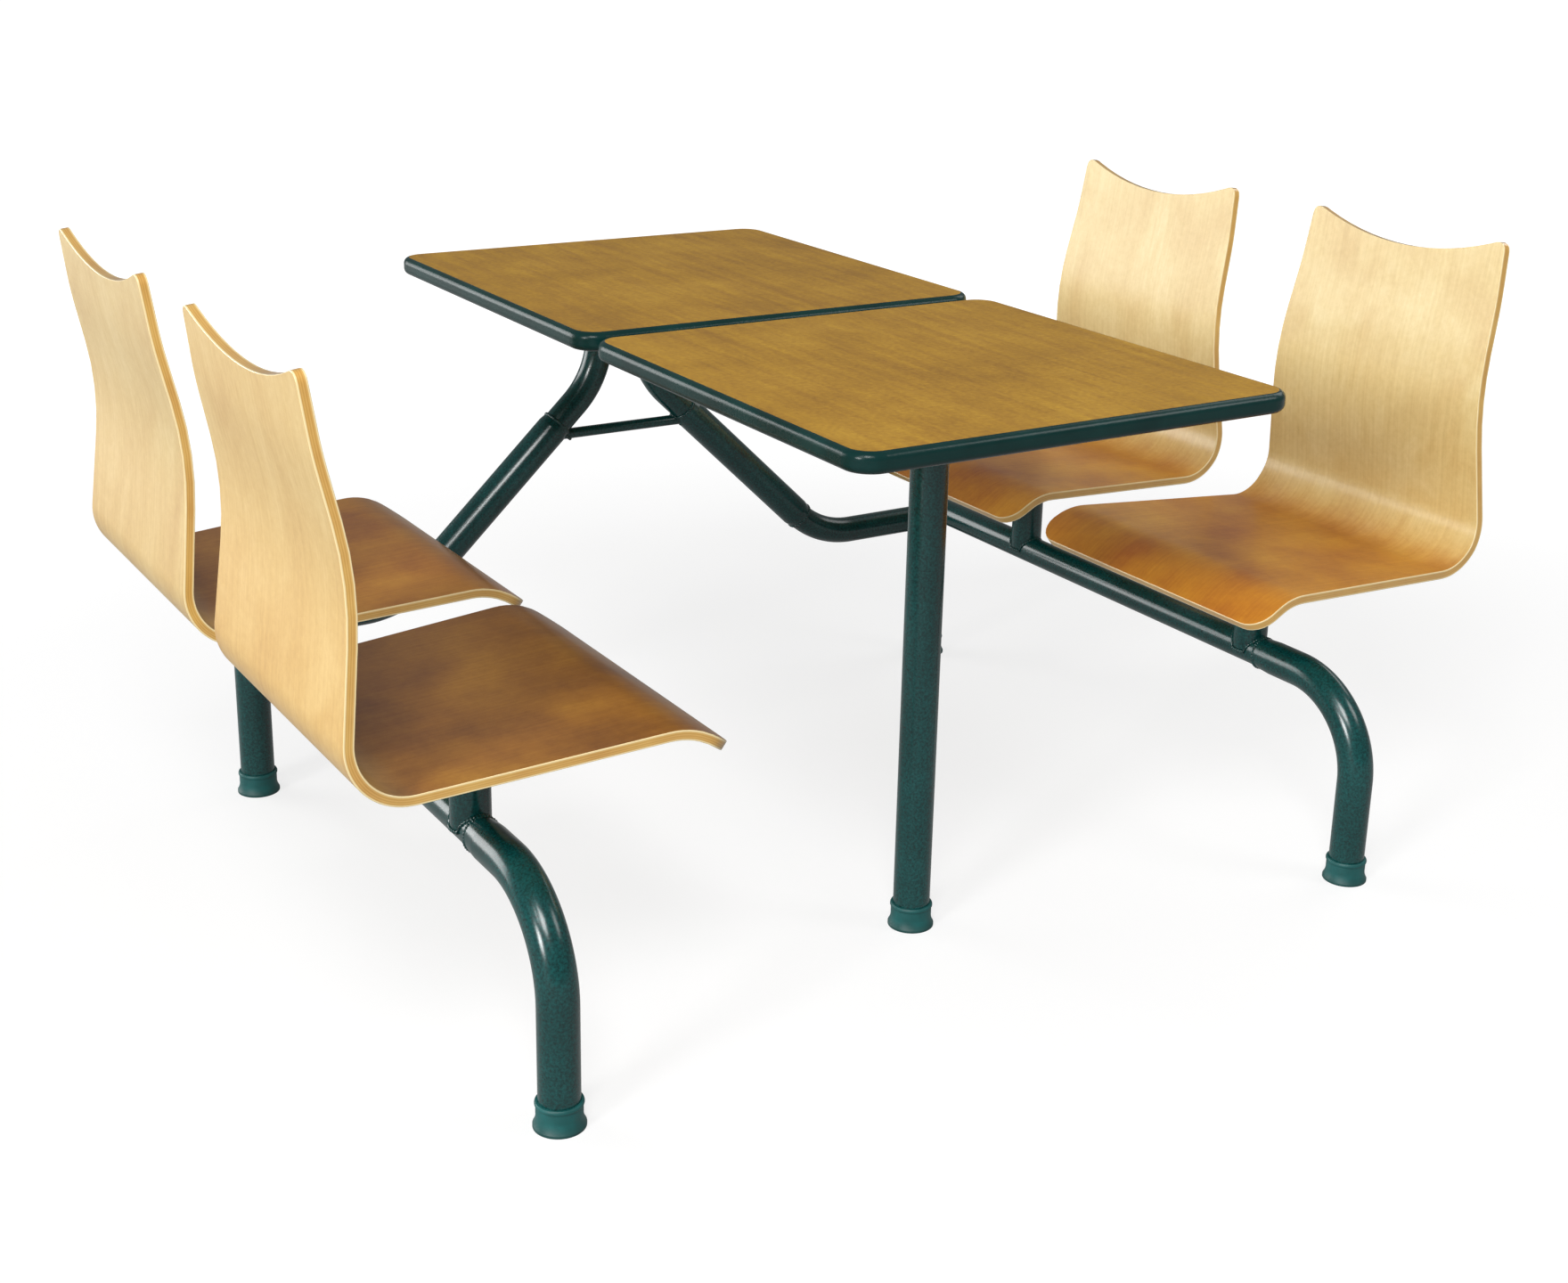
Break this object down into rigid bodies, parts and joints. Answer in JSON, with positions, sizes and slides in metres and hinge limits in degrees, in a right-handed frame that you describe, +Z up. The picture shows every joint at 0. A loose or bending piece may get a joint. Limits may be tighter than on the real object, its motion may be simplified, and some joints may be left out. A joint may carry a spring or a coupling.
{
  "type": "table with attached swivel seats",
  "caption": "Canteen dining table with bent plywood swivel seats carried on one green tubular steel frame.",
  "frame": {"origin": "on the floor, under the middle of the gap between the two table tops", "axes": "+X across the table towards the right-hand seats, +Y along the table towards the far end with the struts, +Z up"},
  "size_m": [1.677, 1.248, 0.861],
  "materials": {
    "wood_laminate": "satin wood-look laminate",
    "core_board": "raw particle board",
    "edge_band": "moulded dark green edge",
    "green_powder_coat": "dark green gloss powder coat",
    "green_rubber": "moulded green foot",
    "green_plastic": "moulded plug",
    "black_plastic": "moulded plug",
    "bent_plywood": "lacquered birch plywood",
    "zinc_steel": "zinc plated",
    "white_nylon": "moulded nylon"
  },
  "bodies": {
    "frame": {"centre_foot": "green_rubber", "centre_leg": "green_powder_coat", "far_cross_rail": "green_powder_coat", "far_head_plate": "green_powder_coat", "far_left_foot": "green_rubber", "far_left_leg": "green_powder_coat", "far_left_seat_post": "green_powder_coat", "far_left_swivel_bushes": "white_nylon", "far_leg_caps": "green_plastic", "far_right_foot": "green_rubber", "far_right_leg": "green_powder_coat", "far_right_seat_post": "green_powder_coat", "far_right_swivel_bushes": "white_nylon", "far_top_core": "core_board", "far_top_edge_band": "edge_band", "far_top_laminate": "wood_laminate", "left_rail": "green_powder_coat", "left_seat_beam": "green_powder_coat", "left_strut": "green_powder_coat", "left_strut_high_bend": "green_powder_coat", "left_strut_low_bend": "green_powder_coat", "middle_cross_rail": "green_powder_coat", "near_cross_rail": "green_powder_coat", "near_head_plate": "green_powder_coat", "near_left_foot": "green_rubber", "near_left_leg": "green_powder_coat", "near_left_seat_post": "green_powder_coat", "near_left_swivel_bushes": "white_nylon", "near_right_foot": "green_rubber", "near_right_leg": "green_powder_coat", "near_right_seat_post": "green_powder_coat", "near_right_swivel_bushes": "white_nylon", "near_top_core": "core_board", "near_top_edge_band": "edge_band", "near_top_laminate": "wood_laminate", "rail_end_plugs": "black_plastic", "return_springs": "zinc_steel", "right_rail": "green_powder_coat", "right_seat_beam": "green_powder_coat", "right_strut": "green_powder_coat", "right_strut_high_bend": "green_powder_coat", "right_strut_low_bend": "green_powder_coat", "strut_tie_bar": "green_powder_coat", "top_screws": "zinc_steel"},
    "near_left_seat": {"near_left_seat_shell": "bent_plywood", "near_left_swivel_plate": "green_powder_coat", "near_left_spindle": "zinc_steel", "near_left_seat_fixings": "zinc_steel"},
    "near_right_seat": {"near_right_seat_shell": "bent_plywood", "near_right_swivel_plate": "green_powder_coat", "near_right_spindle": "zinc_steel", "near_right_seat_fixings": "zinc_steel"},
    "far_left_seat": {"far_left_seat_shell": "bent_plywood", "far_left_swivel_plate": "green_powder_coat", "far_left_spindle": "zinc_steel", "far_left_seat_fixings": "zinc_steel"},
    "far_right_seat": {"far_right_seat_shell": "bent_plywood", "far_right_swivel_plate": "green_powder_coat", "far_right_spindle": "zinc_steel", "far_right_seat_fixings": "zinc_steel"}
  },
  "joints": [
    {"name": "near_left_seat_swivel", "type": "hinge", "parent": "frame", "child": "near_left_seat", "pos_m": [-0.6, -0.289, 0.413], "axis": [0, 0, 1], "range_deg": [-90, 90], "stiffness_Nm_per_rad": 1.2},
    {"name": "near_right_seat_swivel", "type": "hinge", "parent": "frame", "child": "near_right_seat", "pos_m": [0.6, -0.289, 0.413], "axis": [0, 0, 1], "range_deg": [-90, 90], "stiffness_Nm_per_rad": 1.2},
    {"name": "far_left_seat_swivel", "type": "hinge", "parent": "frame", "child": "far_left_seat", "pos_m": [-0.6, 0.234, 0.413], "axis": [0, 0, 1], "range_deg": [-90, 90], "stiffness_Nm_per_rad": 1.2},
    {"name": "far_right_seat_swivel", "type": "hinge", "parent": "frame", "child": "far_right_seat", "pos_m": [0.6, 0.234, 0.413], "axis": [0, 0, 1], "range_deg": [-90, 90], "stiffness_Nm_per_rad": 1.2}
  ]
}
